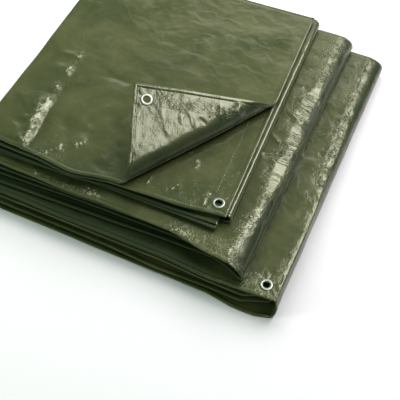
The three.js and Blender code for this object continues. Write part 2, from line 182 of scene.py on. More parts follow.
def frontOf(number, layer, x):
    values = frontEdges[(number, layer)]
    right = min(max(bisect.bisect_right(edgeStations, x), 1), len(edgeStations) - 1)
    left = right - 1
    share = (x - edgeStations[left]) / (edgeStations[right] - edgeStations[left])
    share = min(max(share, 0), 1)
    return between(values[left], values[right], between(share, smooth(share), packet["edgeRounding"]))


def foldTip(ply, number, y):
    fold = folds[number]
    inset = 0 if isOuter(ply, number) else fold["inset"]
    return fold["tip"] + fold["lean"] * y - fold["side"] * inset


def ridgeOf(number, y):      # how far in a worn ridge's face ends and starts
    stations, inner, outer = np.array(ridges[number]["edges"]).T
    return np.interp(y, stations, inner), np.interp(y, stations, outer)


def reachOf(number, rising, y):
    if rising and number in ridges:
        return ridgeOf(number, y)[0]
    return folds[number]["reach"] + 0 * y


def runEnd(ply, number, side, y):
    layer = layerOf(ply, number)
    if number == 0 and side == -1:
        return groundEnd[layer] + 0 * y
    if number == len(passes) - 1 and side == 1:
        return topEnd[layer] + topEnd["lean"] * y
    index = number if side == (1 if number % 2 == 0 else -1) else number - 1
    fold = folds[index]
    reach = reachOf(index, index != number, y) * (1 if isOuter(ply, index) else packet["innerShare"])
    return foldTip(ply, index, y) - fold["side"] * reach


# A worn ridge, from the middle of its fold: a wall that turns up from the tip, then the flat face
def ridgeLine(number, angle, y, level, high):  # how far in from the tip, and z
    inner, outer = ridgeOf(number, y)
    edge, reach = np.minimum(inner, outer), np.maximum(inner, outer)
    cut, full = ridges[number]["cut"], packet["wallTurn"]
    drop = ridges[number]["slope"] * (reach - edge)
    done = angle * 2 / math.pi / cut
    if done < 1.001:
        turn = min(done, 1) * full
        back, up = (1 - math.cos(turn)) / (1 - math.cos(full)), math.sin(turn) / math.sin(full)
        return edge * back, level + (high - level - drop) * up
    done = (done - 1) * cut / (1 - cut)
    return between(edge, reach, done), high - drop * (1 - done)


def layerLine(ply, section, y):  # x and z of one layer, over an array of y
    number = section["pass"]
    if section["kind"] == "run":
        side = -1 if number % 2 == 0 else 1
        start = runEnd(ply, number, side, y)
        end = runEnd(ply, number, -side, y)
        return between(start, end, section["share"]), passes[number][layerOf(ply, number)] + 0 * y
    fold = folds[number]
    scale = 1 if isOuter(ply, number) else packet["innerShare"]
    low = passes[number][layerOf(ply, number)]
    high = passes[number + 1][layerOf(ply, number + 1)]
    level = low + (high - low) * fold["rise"]
    rising = section["angle"] > 0
    if rising and number in ridges:
        inwards, z = ridgeLine(number, section["angle"], y, level, high)
    else:
        across = abs(math.cos(section["angle"])) ** (2 / fold["square"])
        up = abs(math.sin(section["angle"])) ** (2 / fold["square"]) * (1 if rising else -1)
        inwards = reachOf(number, rising, y) * (1 - across)
        z = level + (high - level if rising else level - low) * up + 0 * y
    return foldTip(ply, number, y) - fold["side"] * inwards * scale, z


def frontAt(ply, section):
    number = section["pass"]
    x = float(layerLine(ply, section, packet["hem"])[0])
    here = frontOf(number, layerOf(ply, number), x)
    if section["kind"] == "run":
        return here
    after = frontOf(number + 1, layerOf(ply, number + 1), x)
    return between(here, after, float(smooth(section["angle"] / math.pi + 0.5)))


def backAt(section):
    here = passes[section["pass"]]["back"]
    if section["kind"] == "run":
        return here
    return between(here, passes[section["pass"] + 1]["back"], section["angle"] / math.pi + 0.5)


def withLumps(points):
    share = (points[:, 2] - packet["solidLow"]) / packet["top"]
    x, y = points[:, 0], points[:, 1]
    rise = sum(lump["height"] * np.sin(x / lump["alongX"] + y / lump["alongY"] + lump["start"])
               for lump in lumps)
    return points + np.stack([0 * share, 0 * share, share * rise], 1)


def acrossPly(steps, width):  # places from the front edge inwards
    fine, until, rest = steps
    bead = cloth["beadSteps"]
    if not fine:
        return np.concatenate([bead, np.linspace(bead[-1], width, rest + 1)[1:]])
    middle = np.linspace(packet["hem"], until, round((until - packet["hem"]) / fine) + 1)
    return np.concatenate([bead, cloth["hemSteps"], middle, np.linspace(until, width, rest + 1)[1:]])


def plyPoints(ply, section, y):
    x, z = layerLine(ply, section, y)
    return withLumps(np.stack([x, y, z], 1))


# One row of the sheet, from the front edge of ply a round the doubled back edge to the front edge of ply b
def sheetRow(section, steps):
    back = backAt(section)
    rows = {}
    for ply in "ab":
        front = frontAt(ply, section)
        inset = acrossPly(steps[ply], back - front)
        rows[ply] = {"points": plyPoints(ply, section, front + inset), "inset": inset}
    first, last = rows["a"]["points"][-1], rows["b"]["points"][-1]
    middle, half = (first + last) / 2, (first - last) / 2
    angle = np.linspace(0, math.pi, cloth["backRows"] + 1)[1:-1]
    size = float(np.linalg.norm(half))
    turn = middle + np.outer(np.cos(angle), half) + np.outer(np.sin(angle), [0, size, 0])
    arc = math.pi * size
    insetA, insetB = rows["a"]["inset"], rows["b"]["inset"]
    return {
        "points": np.concatenate([rows["a"]["points"], turn, rows["b"]["points"][::-1]]),
        "ply": np.array([0] * len(insetA) + [2] * len(turn) + [1] * len(insetB)),
        "inset": np.concatenate([insetA, insetA[-1] + 0 * angle, insetB[::-1]]),
        "across": np.concatenate([insetA - insetA[-1] - arc / 2, arc * (angle / math.pi - 0.5),
                                  (insetB[-1] - insetB)[::-1] + arc / 2]),
    }


def freeRim(width):          # close rows along a free short end, as shares of the run
    return [inset / width for inset in cloth["beadSteps"] + cloth["hemSteps"]]


def sheetSections():
    sections = []
    for number in range(len(passes)):
        left = float(runEnd("a", number, -1, packet["hem"]))
        right = float(runEnd("a", number, 1, packet["hem"]))
        places, reached = [], left
        own = [stretch for stretch in stretches if stretch["pass"] == number]
        for stretch in own:
            until = min(stretch["until"], right)
            count = max(round((until - reached) / stretch["row"]), 1)
            ends = [between(reached, until, step / count) for step in range(count + 1)]
            places += [((x - left) / (right - left), stretch) for x in (ends if not places else ends[1:])]
            reached = until
        rim = freeRim(right - left)
        if number == 0:
            places = [place for place in places if place[0] > rim[-1] + cloth["rimGap"]]
            places = [(share, own[0]) for share in rim] + places
        if number == len(folds):
            places = [place for place in places if place[0] < 1 - rim[-1] - cloth["rimGap"]]
            places += [(1 - share, own[-1]) for share in reversed(rim)]
        if number % 2:
            places = [(1 - share, stretch) for share, stretch in reversed(places)]
        for share, stretch in places:
            sections.append({"kind": "run", "pass": number, "share": share, "steps": stretch})
        if number == len(folds):
            break
        after = [stretch for stretch in stretches if stretch["pass"] == number + 1]
        rows = folds[number]["rows"]
        for step in range(1, rows):
            angle = math.pi * (step / rows - 0.5)
            steps = after[-1] if folds[number]["side"] == 1 else after[0]
            sections.append({"kind": "fold", "pass": number, "angle": angle, "steps": steps})
    return sections


# The turned corner: the top layer is bent up and over past the turn line, with its height kept as an offset
def turnedBack(points):
    start, end = np.array(turnBack["from"]), np.array(turnBack["to"])
    along = (end - start) / np.linalg.norm(end - start)
    across = np.array([along[1], -along[0]])
    past = (points[:, :2] - start) @ across
    left, heading, side, rise = np.maximum(past, 0), 0 * past, 0 * past, 0 * past
    for radius, angle in turnBack["bends"]:
        after = heading + np.minimum(left / radius, angle)
        side = side + radius * (np.sin(after) - np.sin(heading))
        rise = rise + radius * (np.cos(heading) - np.cos(after))
        left, heading = np.maximum(left - radius * angle, 0), after
    above = points[:, 2] - packet["top"]
    side = side + left * np.cos(heading) - above * np.sin(heading)
    rise = rise + left * np.sin(heading) + above * np.cos(heading)
    moved = points.copy()
    moved[:, :2] += np.outer(side - np.maximum(past, 0), across)
    moved[:, 2] = packet["top"] + rise
    return np.where((past > 0)[:, None], moved, points), past


# Creases and puckers on each layer, each along a path: how wide it is, and its height (minus for a trough).
# gentle is its width on the left of the path, plane makes its right side fall as one flat face, crinkle
# roughens the cloth round it, and a painted highlight can be laid along it in paler colour. Places on the
# turned corner are those before it was turned, where a height of minus stands out on the side that shows.
def crease(path, width, height=0, gentle=None, crinkle=0, paintedHighlight=0, plane=False):
    return {"path": path, "width": width, "height": height, "gentle": gentle or width, "crinkle": crinkle,
            "paintedHighlight": paintedHighlight, "plane": plane}


creases = {"top": [
    # the turned corner: its soft roll, upright wrinkles across its underside, and the crinkled hem
    crease([(-0.16, 0.232), (-0.186, 0.192), (-0.218, 0.144)], 0.011, -0.0012, gentle=0.05),
    crease([(-0.1585, 0.1385), (-0.1715, 0.1365), (-0.188, 0.139)], 0.0026, -0.0005),
    crease([(-0.196, 0.142), (-0.204, 0.144), (-0.214, 0.1495)], 0.0028, -0.0005),
    crease([(-0.1605, 0.171), (-0.1735, 0.1695), (-0.1935, 0.172)], 0.0026, -0.0005),
    crease([(-0.152, 0.1815), (-0.1665, 0.185), (-0.1805, 0.189), (-0.195, 0.193)], 0.003, -0.0008),
    crease([(-0.1405, 0.2185), (-0.155, 0.2205), (-0.174, 0.219)], 0.0026, -0.0006),
    crease([(-0.144, 0.238), (-0.16, 0.242), (-0.177, 0.239)], 0.007, -0.003),
    crease([(-0.1375, 0.276), (-0.1565, 0.273), (-0.173, 0.273)], 0.009, -0.0036),
    crease([(-0.176, 0.095), (-0.2, 0.094), (-0.227, 0.0935), (-0.254, 0.0915)], 0.0034, -0.0008),
    crease([(-0.176, 0.1995), (-0.189, 0.216)], 0.004, 0.001),
    crease([(-0.15, 0.13), (-0.166, 0.3)], 0.011, crinkle=0.7),
    crease([(-0.19, 0.115), (-0.2, 0.26)], 0.034, crinkle=0.16),
    # the top layer: the crinkled ridge at the left and the curved streak, both with painted highlights, and
    # soft wrinkles
    crease([(-0.5045, 0.08), (-0.508, 0.13), (-0.514, 0.165), (-0.512, 0.195), (-0.514, 0.215)],
           0.0125, 0.0076, gentle=0.05, crinkle=0.6, paintedHighlight=1.0, plane=True),
    crease([(-0.513, 0.22), (-0.5145, 0.242)],
           0.0075, 0.0044, gentle=0.03, crinkle=1.0, paintedHighlight=1.0, plane=True),
    crease([(-0.516, 0.262), (-0.517, 0.294)],
           0.0075, 0.0044, gentle=0.03, crinkle=0.8, paintedHighlight=0.9, plane=True),
    crease([(-0.5175, 0.31), (-0.518, 0.328)], 0.007, 0.004, gentle=0.03, crinkle=1.0, paintedHighlight=0.9, plane=True),
    crease([(-0.449, 0.098), (-0.434, 0.117), (-0.418, 0.128), (-0.404, 0.143)],
           0.0055, 0.0034, gentle=0.02, crinkle=0.6, paintedHighlight=1.5, plane=True),
    crease([(-0.46, 0.098), (-0.45, 0.117)], 0.005, 0.002, crinkle=0.5, paintedHighlight=0.8),
    crease([(-0.476, 0.088), (-0.446, 0.094)], 0.014, 0.0008, crinkle=1.0, paintedHighlight=0.55),
    crease([(-0.46, 0.297), (-0.395, 0.297)], 0.008, -0.0022),
    crease([(-0.383, 0.108), (-0.333, 0.094)], 0.01, -0.0024),
    crease([(-0.404, 0.224), (-0.369, 0.188), (-0.332, 0.13)], 0.015, -0.002),
    crease([(-0.346, 0.148), (-0.344, 0.089)], 0.013, -0.0024),
    crease([(-0.434, 0.185), (-0.401, 0.179)], 0.009, -0.0018),
    crease([(-0.43, 0.235), (-0.385, 0.262)], 0.012, -0.0022),
    crease([(-0.475, 0.17), (-0.44, 0.15)], 0.012, -0.0018),
    crease([(-0.36, 0.12), (-0.33, 0.1)], 0.01, 0.0012, crinkle=0.6),
], "second": [
    # the second layer: short puckers with painted highlights, and the wrinkle into its eyelet
    crease([(-0.273, 0.125), (-0.272, 0.103)], 0.0024, 0.0014, paintedHighlight=0.9),
    crease([(-0.231, 0.119), (-0.225, 0.1)], 0.0022, 0.0012, paintedHighlight=0.9),
    crease([(-0.225, 0.129), (-0.218, 0.113), (-0.21, 0.097)], 0.0024, 0.0015, paintedHighlight=0.9),
    crease([(-0.207, 0.146), (-0.197, 0.132)], 0.0022, 0.0012, paintedHighlight=0.9),
    crease([(-0.216, 0.189), (-0.208, 0.162)], 0.0024, 0.0014, paintedHighlight=0.9),
    crease([(-0.175, 0.128), (-0.169, 0.099)], 0.0024, 0.0014, paintedHighlight=0.9),
    crease([(-0.172, 0.134), (-0.151, 0.124)], 0.0026, -0.0022),
    crease([(-0.24, 0.11), (-0.16, 0.104)], 0.016, crinkle=0.35),
], "mound": [
    # the mound: its bright ridge, partly a painted highlight, and what runs across it
    crease([(-0.081, 0.235), (-0.084, 0.33), (-0.088, 0.42), (-0.088, 0.59)], 0.017, crinkle=1.0),
    crease([(-0.096, 0.03), (-0.0915, 0.09), (-0.086, 0.16), (-0.082, 0.225)],
           0.0085, crinkle=1.0, paintedHighlight=0.75),
    crease([(-0.112, 0.439), (-0.088, 0.42), (-0.078, 0.405)], 0.006, -0.002),
    crease([(-0.116, 0.366), (-0.098, 0.363), (-0.076, 0.352)], 0.004, 0.0017, paintedHighlight=0.5),
    crease([(-0.112, 0.348), (-0.09, 0.35)], 0.006, -0.0018),
    crease([(-0.122, 0.303), (-0.103, 0.294), (-0.076, 0.303)], 0.004, 0.0017, paintedHighlight=0.7),
    crease([(-0.124, 0.257), (-0.06, 0.28)], 0.0034, -0.002),
    crease([(-0.11, 0.228), (-0.07, 0.238)], 0.007, -0.0018),
    crease([(-0.1, 0.182), (-0.068, 0.176)], 0.006, 0.0018),
    crease([(-0.074, 0.17), (-0.06, 0.12)], 0.009, -0.0018),
    crease([(-0.142, 0.052), (-0.106, 0.046), (-0.074, 0.034)], 0.011, 0.0016, crinkle=1.0),
    crease([(-0.218, 0.06), (-0.19, 0.055), (-0.147, 0.042)], 0.012, 0.0008, crinkle=1.0, paintedHighlight=0.5),
    crease([(-0.478, 0.063), (-0.462, 0.059)], 0.006, 0.0012, crinkle=0.9, paintedHighlight=0.9),
    crease([(-0.455, 0.061), (-0.4, 0.058), (-0.33, 0.06)], 0.009, 0.001, crinkle=0.9, paintedHighlight=0.45),
    crease([(-0.097, 0.04), (-0.088, 0.12), (-0.085, 0.3), (-0.088, 0.45)], 0.012, paintedHighlight=0.35),
], "bottom": [
    # the bottom fold: the crinkled line along its shoulder, the crease across it
    crease([(-0.024, 0.58), (-0.023, 0.461), (-0.019, 0.408), (-0.014, 0.365),
            (-0.013, 0.332), (-0.01, 0.296), (-0.009, 0.26), (-0.006, 0.235)],
           0.01, crinkle=1.0),
    crease([(-0.009, 0.26), (-0.006, 0.2), (-0.006, 0.116), (-0.01, 0.04)], 0.006, crinkle=0.4),
    crease([(-0.029, 0.59), (-0.027, 0.445), (-0.025, 0.352), (-0.024, 0.301)], 0.003, 0.0011),
    crease([(-0.066, 0.308), (-0.012, 0.32)], 0.0038, -0.0013),
    crease([(-0.042, 0.03), (-0.012, 0.028)], 0.016, crinkle=0.75),
]}

creaseForm = {               # what all creases share
    "uneven": 0.4,           # how much their height varies, over unevenSize
    "unevenSize": 0.011,
    "unevenSeed": 31,
    "taper": 2.2,            # how far from its ends a crease is full, in widths
    "tip": 0.2,              # how far along that taper it starts
    "crinkleReach": 1.6,     # in widths
    # how far the painted highlight reaches, in widths
    "highlightReach": 0.6,
}

unevenness = {               # of the cloth all over
    "wave": 0.0007,
    "waveSize": 0.060,
    "waveSeed": 4,
    "facet": 0.0009,         # small facets where the cloth is crinkled
    "facetSize": 0.013,
    "facetSeed": 11,
    "dent": 0.0006,          # large facets everywhere, and what crinkled cloth adds to them
    "dentCrinkled": 0.0007,
    "dentSize": 0.034,
    "dentSeed": 23,
    "onTop": 0.3,            # share of the large facets on the calmer top layer
}


def alongPath(x, y, path):   # distance from a path, which side of it, and how far in from its ends
    points = np.array(path)
    steps = np.linalg.norm(np.diff(points, axis=0), axis=1)
    start = np.concatenate([[0], np.cumsum(steps)])
    nearest, place, right = np.full(x.shape, far), np.zeros(x.shape), np.zeros(x.shape, bool)
    for (x0, y0), (x1, y1), run, done in zip(points[:-1], points[1:], steps, start):
        share = np.clip(((x - x0) * (x1 - x0) + (y - y0) * (y1 - y0)) / run ** 2, 0, 1)
        distance = np.hypot(x - between(x0, x1, share), y - between(y0, y1, share))
        closer = distance < nearest
        nearest = np.where(closer, distance, nearest)
        place = np.where(closer, done + share * run, place)
        right = np.where(closer, (x - x0) * (y1 - y0) > (y - y0) * (x1 - x0), right)
    return nearest, right, np.minimum(place, start[-1] - place)


def reliefOf(layer, x, y):   # height, crinkle and painted highlight of one layer's creases
    height, crinkle, paintedHighlight = 0 * x, 0 * x, 0 * x
    uneven = 1 + creaseForm["uneven"] * roughness(x, y, creaseForm["unevenSize"], creaseForm["unevenSeed"])
    for one in creases[layer]:
        width = one["width"]
        distance, right, fromTip = alongPath(x, y, one["path"])
        wide = np.where(right, width, one["gentle"])
        spread = np.exp(-(distance / wide) ** 2)
        if one["plane"]:
            spread = np.where(right, np.clip(1 - distance / wide, 0, 1), spread)
        taper = smooth(fromTip / (creaseForm["taper"] * width) + creaseForm["tip"])
        height = height + one["height"] * spread * taper * uneven
        around = np.exp(-(distance / (creaseForm["crinkleReach"] * width)) ** 2)
        crinkle = np.maximum(crinkle, one["crinkle"] * around)
        around = np.exp(-(distance / (creaseForm["highlightReach"] * width)) ** 2)
        paintedHighlight = np.maximum(paintedHighlight, one["paintedHighlight"] * around * taper)
    return height, crinkle, paintedHighlight


def roughness(x, y, size, seed):  # smooth random field from -1 to 1
    count = 128
    grid = np.random.default_rng(seed).uniform(-1, 1, (count, count))
    u, v = x / size, y / size
    i, j = np.floor(u).astype(int), np.floor(v).astype(int)
    s, t = smooth(u - i), smooth(v - j)
    corner = [[grid[(i + a) % count, (j + b) % count] for b in (0, 1)] for a in (0, 1)]
    return between(between(corner[0][0], corner[0][1], t), between(corner[1][0], corner[1][1], t), s)


def crumple(x, y, size, seed):    # flat facets that meet in sharp ridges, as in crumpled film
    count, warp, mean = 64, 0.45 * size, 0.45
    warpX = x + warp * roughness(x, y, 1.3 * size, seed + 1)
    warpY = y + warp * roughness(x, y, 1.3 * size, seed + 2)
    i, j = np.floor(warpX / size).astype(int), np.floor(warpY / size).astype(int)
    jitter = np.random.default_rng(seed).uniform(0, 1, (count, count, 2))
    nearest = np.full(np.shape(x), far)
    for a in (-1, 0, 1):
        for b in (-1, 0, 1):
            centre = jitter[(i + a) % count, (j + b) % count]
            awayX, awayY = warpX / size - i - a - centre[..., 0], warpY / size - j - b - centre[..., 1]
            nearest = np.minimum(nearest, np.hypot(awayX, awayY))
    return nearest - mean


layerNames = {(6, "high"): "top", (6, "low"): "second", (3, "high"): "mound", (1, "high"): "bottom"}
hemWidths = {                # along the front edges, and along the short end of each layer
    "front": 0.0395,
    "top": 0.0395,
    "second": 0.0315,
    "bottom": 0.0340,
    "other": 0.035,
}


def reachAlong(rows, index):  # how far along the strip each row is, at one place across it
    points = np.array([row["points"][index] for row in rows])
    return np.concatenate([[0], np.cumsum(np.linalg.norm(np.diff(points, axis=0), axis=1))])


def placeRow(row):           # the pass that each point belongs to, and how far it is from the short ends
    section, count = row["section"], len(row["ply"])
    number, inFold = section["pass"], section["kind"] == "fold"
    up = 1 if (number + inFold) % 2 == 0 else -1
    row["number"] = np.full(count, number + inFold)
    row["sign"] = np.where(row["ply"] == 0, 1.0, -1.0) * up
    row["unrolled"] = row["points"][:, 0].copy()
    row["fromRight"], row["fromEnd"] = np.full(count, far), np.full(count, far)
    if inFold:
        row["fade"] = np.full(count, float(smooth(2 * (section["angle"] / math.pi + 0.5))))
        return
    row["fade"] = np.where(row["ply"] == 2, 0.0, 1.0)
    for ply, name in enumerate("ab"):
        on = row["ply"] == ply
        x, y = row["points"][on, 0], row["points"][on, 1]
        row["fromRight"][on] = runEnd(name, number, 1, y) - x
        if number == len(passes) - 1:
            row["fromEnd"][on] = row["fromRight"][on]
        if number == 0:
            row["fromEnd"][on] = x - runEnd(name, number, -1, y)


def unrollFold(rows, index, after, along):  # x as if the fold lay flat beside the pass above it
    row, first = rows[index], rows[after]
    side = folds[row["section"]["pass"]]["side"]
    for ply in (0, 1):
        edge = first["points"][first["ply"] == ply][:, 0].mean()
        row["unrolled"][row["ply"] == ply] = edge + side * (along[ply][after] - along[ply][index])


# The sheet's rows, with what the creases, the hem and the pattern of the cloth need at each point
def sheetRows():
    rows = [{**sheetRow(section, section["steps"]), "section": section} for section in sheetSections()]
    along = [reachAlong(rows, 0), reachAlong(rows, -1)]
    starts = {}
    for index, row in enumerate(rows):
        if row["section"]["kind"] == "run":
            starts.setdefault(row["section"]["pass"], index)
    for index, row in enumerate(rows):
        a, b = along[0][index], along[1][index]
        row["along"] = np.choose(row["ply"], [a, b, (a + b) / 2])
        placeRow(row)
        if row["section"]["kind"] == "fold":
            unrollFold(rows, index, starts[row["section"]["pass"] + 1], along)
    return rows


def shareAcross(row):
    across = row["across"]
    return (across - across[0]) / (across[-1] - across[0])


def joinRows(rows):          # triangles between rows, also where one row has more points than the next
    faces, first = [], 0
    for row, after in zip(rows[:-1], rows[1:]):
        i, j, countI, countJ = 0, 0, len(row["across"]), len(after["across"])
        second = first + countI
        spanI, spanJ = shareAcross(row), shareAcross(after)
        while i < countI - 1 or j < countJ - 1:
            if countI == countJ:
                faces += [(first + i, second + i, second + i + 1), (first + i, second + i + 1, first + i + 1)]
                i, j = i + 1, j + 1
            elif j == countJ - 1 or (i < countI - 1 and spanI[i + 1] <= spanJ[j + 1]):
                faces.append((first + i, second + j, first + i + 1))
                i += 1
            else:
                faces.append((first + i, second + j, second + j + 1))
                j += 1
        first = second
    return np.array(faces)


def normalsOf(points, faces):
    a, b, c = (points[faces[:, k]] for k in range(3))
    flat = np.cross(b - a, c - a)
    normals = np.zeros_like(points)
    for k in range(3):
        np.add.at(normals, faces[:, k], flat)
    return normals / np.maximum(np.linalg.norm(normals, axis=1), 1e-12)[:, None]


eyeletPlaces = {             # each eyelet's layer, and its distance from the right end and front edge
    "eyelet_bottom": {"layer": "bottom", "fromEnd": 0.0190, "fromFront": 0.024},
    "eyelet_middle": {"layer": "second", "fromEnd": 0.0215, "fromFront": 0.024},
    "eyelet_corner": {"layer": "top", "fromEnd": 0.0290, "fromFront": 0.024},
}

gathers = {                  # the cloth round each eyelet
    "cut": 0.0095,           # half the width of the square that is cut out round the hole
    "hole": 0.0072,          # radius of the hole that its rim is drawn in to
    "flat": 0.0125,          # how far out it is pressed flat, and over what width that ends
    "flatEnd": 0.012,
    "rays": 9,
    "waver": 2.2,            # how unevenly the rays stand
    "start": 0.7,
    "height": 0.0007,
    "crest": 0.016,          # where the rays are highest, and how wide they are
    "width": 0.008,
    "reach": 0.044,
}

# Painted shade: how far the cloth's colour is darkened, from 0 where it lies open to 1 between the folds
paintedShade = {
    "topFront": 0.32,        # the top layer at its front edge, fading out over topReach
    "topReach": 0.13,
    "secondFrom": -0.36,     # where the second and bottom layers come out into the open, and over what width
    "secondOver": 0.03,
    "bottomFrom": -0.17,
    "bottomOver": 0.08,
    "edgeFrom": -0.165,      # the fold edge under the second layer
    "edge": 0.1,
    "roll": 0.75,            # the turned corner's roll, along rollEdges from the turn line
    "rollEdges": (0.008, 0.028, 0.014),
    "wall": 0.9,             # below each ridge
    "wallOver": 0.003,
    "foot": 0.55,            # the strip beside the mound, along footEdges from its tip
    "footEdges": (-0.004, 0.001, 0.013),
}


def eyeletFrame(node):       # centre and axis of a CAD eyelet
    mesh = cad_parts[node].data
    co = np.array([v.co for v in mesh.vertices])
    centre = (co.min(0) + co.max(0)) / 2
    axis = np.linalg.svd(co - co.mean(0), full_matrices=False)[2][2]
    return centre, axis * (1 if axis[2] > 0 else -1)


def openHole(points, faces, fields, node):
    place = eyeletPlaces[node]
    centre, axis = eyeletFrame(node)
    inside = fields["layer"] == place["layer"]
    inside &= np.abs(fields["fromRight"] - place["fromEnd"]) < gathers["cut"]
    inside &= np.abs(fields["inset"] - place["fromFront"]) < gathers["cut"]
    gone = inside[faces].all(1)
    edges = {(int(a), int(b)) for face in faces[gone] for a, b in zip(face, np.roll(face, -1))}
    rim = [(a, b) for a, b in edges if (b, a) not in edges]
    ring = sorted({a for a, b in rim})
    offset = points[ring] - centre
    offset -= np.outer(offset @ axis, axis)
    offset *= gathers["hole"] / np.linalg.norm(offset, axis=1)[:, None]
    new = {a: len(points) + k for k, a in enumerate(ring)}
    points = np.concatenate([points, centre + offset])
    fields = {name: np.concatenate([values, values[ring]]) for name, values in fields.items()}
    filled = [face for a, b in rim for face in ((a, b, new[b]), (a, new[b], new[a]))]
    return points, np.concatenate([faces[~gone], np.array(filled)]), fields


def thicken(points, faces, half):  # two skins and the rims between them
    normals = normalsOf(points, faces)
    skins = np.empty((2 * len(points), 3))
    skins[0::2] = points + normals * half[:, None]
    skins[1::2] = points - normals * half[:, None]
    edges = np.concatenate([faces[:, [0, 1]], faces[:, [1, 2]], faces[:, [2, 0]]])
    known = set(map(tuple, edges.tolist()))
    rim = np.array([(a, b) for a, b in edges.tolist() if (b, a) not in known])
    solid = [2 * faces, 2 * faces[:, [0, 2, 1]] + 1,
             np.stack([2 * rim[:, 0], 2 * rim[:, 0] + 1, 2 * rim[:, 1] + 1], 1),
             np.stack([2 * rim[:, 0], 2 * rim[:, 1] + 1, 2 * rim[:, 1]], 1)]
    return skins, np.concatenate(solid)


def layersOf(fields):        # the name of the layer that each point is on
    names = {(ply, number): layerNames.get((number, layerOf("ab"[ply], number)), "hidden")
             for ply in (0, 1) for number in range(len(passes))}
    return np.array([names.get(key, "hidden") for key in zip(fields["ply"], fields["number"])])


def foldedIn(fields):        # painted shade between the folds, and towards the top layer's front edge
    x, number = fields["unrolled"], fields["number"]
    dark = np.where((number == 0) | (number == 1), 0.0, 1.0)
    dark = np.where((number == 5) & (x > paintedShade["edgeFrom"]), paintedShade["edge"], dark)
    second = 1 - smooth((x - paintedShade["secondFrom"]) / paintedShade["secondOver"])
    bottom = 1 - smooth((x - paintedShade["bottomFrom"]) / paintedShade["bottomOver"])
    top = paintedShade["topFront"] * (1 - smooth(fields["inset"] / paintedShade["topReach"]))
    for layer, share in (("top", top), ("second", second), ("mound", 0 * x), ("bottom", bottom)):
        dark = np.where(fields["layer"] == layer, share, dark)
    return dark


def shadeOnBends(fields, points, isTop, past):  # painted shade on the roll, the ridges' walls and beside the mound's foot
    x, y, number = points[:, 0], points[:, 1], fields["number"]
    start, end, over = paintedShade["rollEdges"]
    dark = smooth(past / start) * (1 - smooth((past - end) / over)) * paintedShade["roll"]
    dark = np.where(isTop, dark, 0)
    for ridge in ridges:
        edge = foldTip("a", ridge, y) - ridgeOf(ridge, y)[1]
        near = (number == ridge) | (number == ridge + 1)
        wall = smooth((x - edge) / paintedShade["wallOver"]) * paintedShade["wall"]
        dark = np.maximum(dark, np.where(near, wall, 0))
    foot = x - foldTip("a", 2, y)
    first, start, over = paintedShade["footEdges"]
    strip = paintedShade["foot"] * (1 - smooth((foot - start) / over))
    return np.maximum(dark, np.where((number == 1) & (foot > first), strip, 0))


def addCreases(fields, y):   # how far each point rises along its normal, and its crinkle and painted highlight
    x = fields["unrolled"]
    fields["crinkle"], fields["paintedHighlight"] = np.zeros(len(x)), np.zeros(len(x))
    wave = roughness(x, y, unevenness["waveSize"], unevenness["waveSeed"])
    height = unevenness["wave"] * wave * fields["fade"] * fields["sign"]
    for layer in creases:
        on = fields["layer"] == layer
        rise, rough, fields["paintedHighlight"][on] = reliefOf(layer, x[on], y[on])
        facets = crumple(x[on], y[on], unevenness["facetSize"], unevenness["facetSeed"])
        dents = crumple(x[on], y[on], unevenness["dentSize"], unevenness["dentSeed"])
        share = unevenness["onTop"] if layer == "top" else 1
        rise = rise + unevenness["facet"] * rough * facets
        rise = rise + share * (unevenness["dent"] + unevenness["dentCrinkled"] * rough) * dents
        height[on] += rise * fields["fade"][on] * fields["sign"][on]
        fields["crinkle"][on] = rough * fields["fade"][on]
    return height


def fitEyelets(points, faces, fields):
    for node, place in eyeletPlaces.items():
        centre, axis = eyeletFrame(node)
        offset = points - centre
        away = np.linalg.norm(offset, axis=1)
        pressed = 1 - smooth((away - gathers["flat"]) / gathers["flatEnd"])
        angle = np.arctan2(fields["inset"] - place["fromFront"], fields["fromRight"] - place["fromEnd"])
        ray = np.cos(gathers["rays"] * angle + gathers["waver"] * np.sin(angle + gathers["start"]))
        ray = np.exp(-((away - gathers["crest"]) / gathers["width"]) ** 2) * gathers["height"] * ray
        near = (fields["layer"] == place["layer"]) & (away < gathers["reach"])
        points = points + np.outer(np.where(near, ray - (offset @ axis) * pressed, 0), axis)
        points, faces, fields = openHole(points, faces, fields, node)
    return points, faces, fields


def halfThickness(fields):   # thicker along the bead in the hem's edge, thinner in the groove beside it
    bead = cloth["bead"]
    fromRim = np.minimum(fields["inset"], fields["fromEnd"])
    swell = np.sqrt(np.clip(1 - ((fromRim - bead / 2) / (bead / 2)) ** 2, 0, 1))
    groove = np.exp(-((fromRim - bead - cloth["grooveAt"]) / cloth["groove"]) ** 2)
    return cloth["thickness"] / 2 + cloth["beadHeight"] * swell - cloth["grooveDepth"] * groove


def layDownFields(mesh, fields):  # what the material reads: the flat pattern, and a number for each point
    loops = np.zeros(len(mesh.loops), int)
    mesh.loops.foreach_get("vertex_index", loops)
    flat = np.stack([fields["along"], fields["across"]], 1)[loops // 2]
    mesh.uv_layers.new(name="flat").data.foreach_set("uv", flat.astype(np.float32).ravel())
    hem = np.full(len(fields["layer"]), hemWidths["other"])
    for layer in ("top", "second", "bottom"):
        hem = np.where(fields["layer"] == layer, hemWidths[layer], hem)
    spread = {name: np.repeat(fields[name], 2) for name in ("crinkle", "paintedHighlight", "shade")}
    spread["fromFront"] = np.repeat(fields["inset"] / hemWidths["front"], 2)
    spread["fromEnd"] = np.repeat(fields["fromEnd"] / hem, 2)
    spread["inner"] = np.tile([1.0, 0.0], len(hem))  # the turned in side of each hem
    for name, values in spread.items():
        mesh.attributes.new(name, "FLOAT", "POINT").data.foreach_set("value", values.astype(np.float32))


